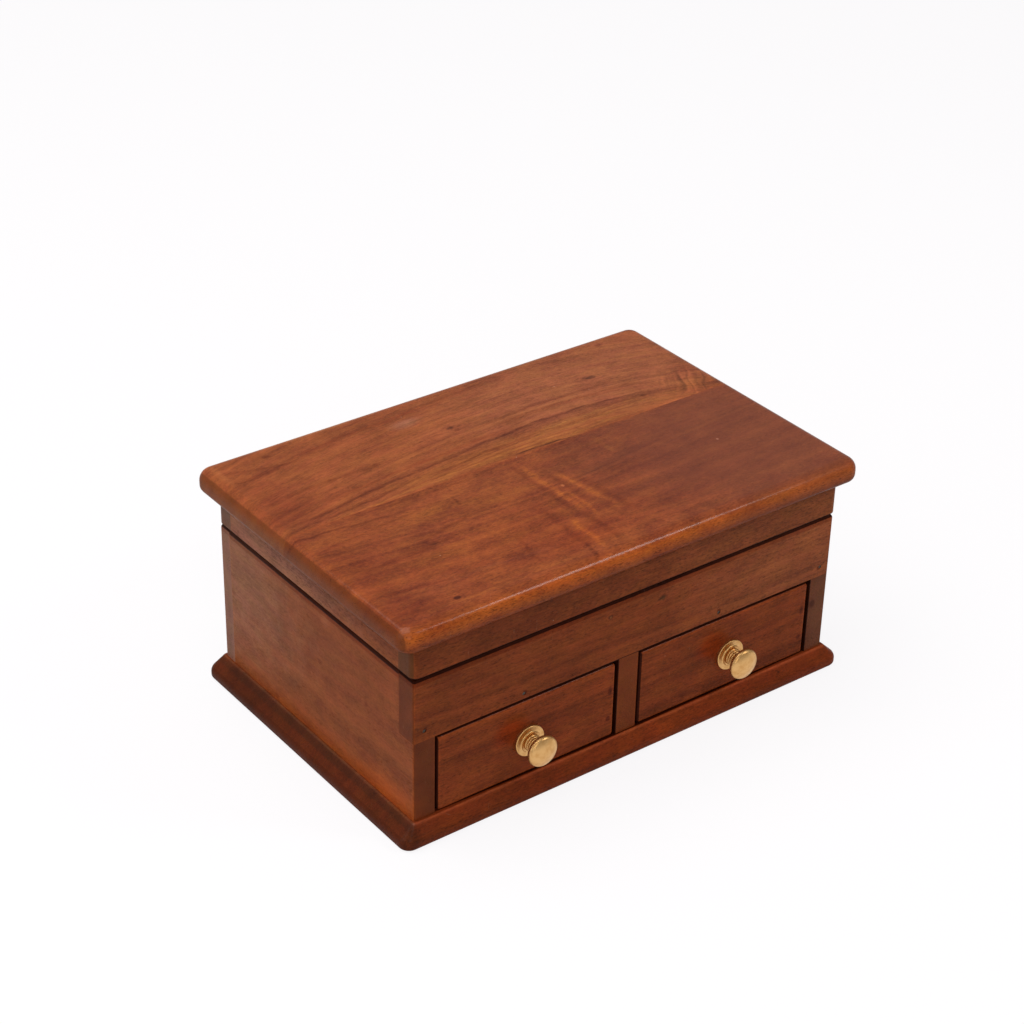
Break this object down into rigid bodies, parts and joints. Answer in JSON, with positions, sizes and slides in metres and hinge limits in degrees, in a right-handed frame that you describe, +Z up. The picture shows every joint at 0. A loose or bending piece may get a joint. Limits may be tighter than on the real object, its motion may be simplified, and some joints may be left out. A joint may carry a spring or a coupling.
{
  "type": "watercolour paint drawer box",
  "caption": "Small wooden box with a hinged lid over a shallow tray compartment and two side-by-side drawers below, each with a turned brass knob, on a wider moulded base board.",
  "frame": {"origin": "centre of the base board's underside, which is the centre of the box in plan", "axes": "+X to the right along the drawer fronts, +Y from the drawer fronts to the back, +Z up"},
  "size_m": [0.257, 0.1765, 0.1148],
  "materials": {
    "base_wood": "red-brown stained hardwood under satin varnish",
    "wall_wood": "red-brown stained hardwood under satin varnish",
    "rail_wood": "red-brown stained hardwood under satin varnish",
    "inner_wood": "stained hardwood, thin varnish",
    "lid_front_wood": "red-brown rippled hardwood under satin varnish",
    "lid_rear_wood": "orange-brown straight-grained hardwood under satin varnish",
    "lid_frame_wood": "red-brown stained hardwood under satin varnish",
    "drawer_front_wood": "reddish-brown fine-pored hardwood under satin varnish",
    "drawer_box_wood": "pale hardwood, bare and sanded",
    "drawer_bottom_wood": "thin pale plywood, bare",
    "knob_brass": "turned and polished brass, lightly lacquered",
    "hinge_brass": "pressed brass, dull polish",
    "brass_screw": "plain brass",
    "steel_pin": "plain steel wire",
    "steel_screw": "bright zinc-plated steel",
    "steel_nail": "plain steel"
  },
  "bodies": {
    "cabinet": {"base_board": "base_wood", "base_screws": "steel_screw", "side_left": "wall_wood", "side_right": "wall_wood", "front_rail": "rail_wood", "back_panel": "wall_wood", "drawer_divider": "wall_wood", "compartment_floor": "inner_wood", "rail_nails": "steel_nail", "left_hinge_body_leaf": "hinge_brass", "right_hinge_body_leaf": "hinge_brass", "left_hinge_pin": "steel_pin", "right_hinge_pin": "steel_pin", "hinge_screws_body": "brass_screw"},
    "lid": {"lid_top_front_board": "lid_front_wood", "lid_top_rear_board": "lid_rear_wood", "lid_frame_front": "lid_frame_wood", "lid_frame_back": "lid_frame_wood", "lid_frame_left": "lid_frame_wood", "lid_frame_right": "lid_frame_wood", "left_hinge_lid_leaf": "hinge_brass", "right_hinge_lid_leaf": "hinge_brass", "hinge_screws_lid": "brass_screw"},
    "left_drawer": {"left_drawer_front": "drawer_front_wood", "left_drawer_left_side": "drawer_box_wood", "left_drawer_right_side": "drawer_box_wood", "left_drawer_bottom": "drawer_bottom_wood", "left_drawer_back": "drawer_box_wood", "left_drawer_knob": "knob_brass", "left_drawer_knob_screw": "steel_screw"},
    "right_drawer": {"right_drawer_front": "drawer_front_wood", "right_drawer_left_side": "drawer_box_wood", "right_drawer_right_side": "drawer_box_wood", "right_drawer_bottom": "drawer_bottom_wood", "right_drawer_back": "drawer_box_wood", "right_drawer_knob": "knob_brass", "right_drawer_knob_screw": "steel_screw"}
  },
  "joints": [
    {"name": "lid_hinge", "type": "hinge", "parent": "cabinet", "child": "lid", "pos_m": [0, 0.08015, 0.0854], "axis": [-1, 0, 0], "range_deg": [0, 99]},
    {"name": "left_drawer_slide", "type": "slide", "parent": "cabinet", "child": "left_drawer", "axis": [0, -1, 0], "range_m": [0, 0.105]},
    {"name": "right_drawer_slide", "type": "slide", "parent": "cabinet", "child": "right_drawer", "axis": [0, -1, 0], "range_m": [0, 0.105]}
  ]
}
